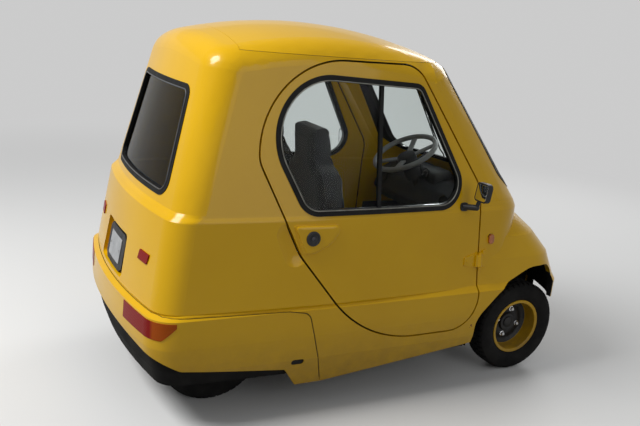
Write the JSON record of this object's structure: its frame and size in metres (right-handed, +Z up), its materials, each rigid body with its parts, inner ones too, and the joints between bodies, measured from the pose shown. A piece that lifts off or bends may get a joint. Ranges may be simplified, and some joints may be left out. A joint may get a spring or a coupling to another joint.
{
  "type": "microcar",
  "caption": "Two-seat microcar with a rounded closed cabin, two side doors, a wraparound rear bumper and four small wheels.",
  "frame": {"origin": "centre of the bounding box on the ground", "axes": "+X forward, +Y to the car's left, +Z up"},
  "size_m": [2.1849, 1.3194, 1.5645],
  "materials": {
    "body_paint": "gloss",
    "trim_black": "satin",
    "rubber_black": "matte",
    "glass_clear": "clear",
    "lamp_red": "gloss",
    "lamp_clear": "gloss",
    "lamp_amber": "gloss",
    "plate_silver": "satin",
    "seat_fabric": "matte",
    "grey_metal": "satin",
    "dark_metal": "satin",
    "battery_case": "satin",
    "wheel_grey": "satin",
    "rim_yellow": "gloss",
    "tyre_black": "matte",
    "skirt_dark": "satin"
  },
  "bodies": {
    "body": {"rear_shell": "body_paint", "front_shell": "body_paint", "windscreen_frame": "body_paint", "sill_panels": "body_paint", "roof_panel": "body_paint", "rear_bumper": "body_paint", "rear_skirt": "skirt_dark", "floor_pan": "dark_metal", "wheel_liners": "skirt_dark", "windscreen": "glass_clear", "rear_window": "glass_clear", "window_seals": "rubber_black", "rear_lamps": "lamp_red", "headlamps": "lamp_clear", "turn_lamps": "lamp_amber", "plate_holder": "trim_black", "number_plate": "plate_silver", "wipers": "trim_black", "dashboard": "trim_black", "steering_column": "trim_black", "seat_cushions": "seat_fabric", "seat_backs": "seat_fabric", "battery_pack": "battery_case", "front_suspension": "dark_metal", "rear_axle": "dark_metal"},
    "steering_wheel": {"steering_wheel": "wheel_grey"},
    "steering_rack": {"steering_rack": "grey_metal"},
    "door_left": {"door_left": "body_paint", "door_seal_left": "rubber_black", "door_glass_left": "glass_clear", "door_mirror_left": "trim_black"},
    "knuckle_left": {"knuckle_left": "dark_metal"},
    "front_wheel_left": {"front_tyre_left": "tyre_black", "front_rim_left": "rim_yellow"},
    "rear_wheel_left": {"rear_tyre_left": "tyre_black", "rear_rim_left": "rim_yellow"},
    "door_right": {"door_right": "body_paint", "door_seal_right": "rubber_black", "door_glass_right": "glass_clear", "door_mirror_right": "trim_black"},
    "knuckle_right": {"knuckle_right": "dark_metal"},
    "front_wheel_right": {"front_tyre_right": "tyre_black", "front_rim_right": "rim_yellow"},
    "rear_wheel_right": {"rear_tyre_right": "tyre_black", "rear_rim_right": "rim_yellow"}
  },
  "joints": [
    {"name": "steering", "type": "hinge", "parent": "body", "child": "steering_wheel", "pos_m": [0.4485, 0.13, 0.96], "axis": [-0.5, 0, 0.866], "range_deg": [-280, 280]},
    {"name": "rack_slide", "type": "slide", "parent": "body", "child": "steering_rack", "axis": [0, 1, 0], "range_m": [-0.04225, 0.04225]},
    {"name": "steer_left", "type": "hinge", "parent": "body", "child": "knuckle_left", "pos_m": [0.7975, 0.34, 0.225], "axis": [0, 0, 1], "range_deg": [-28, 28]},
    {"name": "front_wheel_left_spin", "type": "hinge", "parent": "knuckle_left", "child": "front_wheel_left", "pos_m": [0.7975, 0.45, 0.225], "axis": [0, 1, 0], "continuous": true},
    {"name": "rear_wheel_left_spin", "type": "hinge", "parent": "body", "child": "rear_wheel_left", "pos_m": [-0.7075, 0.292, 0.225], "axis": [0, 1, 0], "continuous": true},
    {"name": "door_left_hinge", "type": "hinge", "parent": "body", "child": "door_left", "pos_m": [0.4385, 0.5675, 0.618], "axis": [0, -0.1323, 0.9912], "range_deg": [-65, 0]},
    {"name": "steer_right", "type": "hinge", "parent": "body", "child": "knuckle_right", "pos_m": [0.7975, -0.34, 0.225], "axis": [0, 0, 1], "range_deg": [-28, 28]},
    {"name": "front_wheel_right_spin", "type": "hinge", "parent": "knuckle_right", "child": "front_wheel_right", "pos_m": [0.7975, -0.45, 0.225], "axis": [0, 1, 0], "continuous": true},
    {"name": "rear_wheel_right_spin", "type": "hinge", "parent": "body", "child": "rear_wheel_right", "pos_m": [-0.7075, -0.292, 0.225], "axis": [0, 1, 0], "continuous": true},
    {"name": "door_right_hinge", "type": "hinge", "parent": "body", "child": "door_right", "pos_m": [0.4385, -0.5675, 0.618], "axis": [0, 0.1323, 0.9912], "range_deg": [0, 65]}
  ],
  "couplings": [
    {"joint": "steer_left", "follows": "steering", "ratio": 0.1},
    {"joint": "steer_right", "follows": "steering", "ratio": 0.1},
    {"joint": "rack_slide", "follows": "steering", "m_per_rad": -0.0086452}
  ]
}
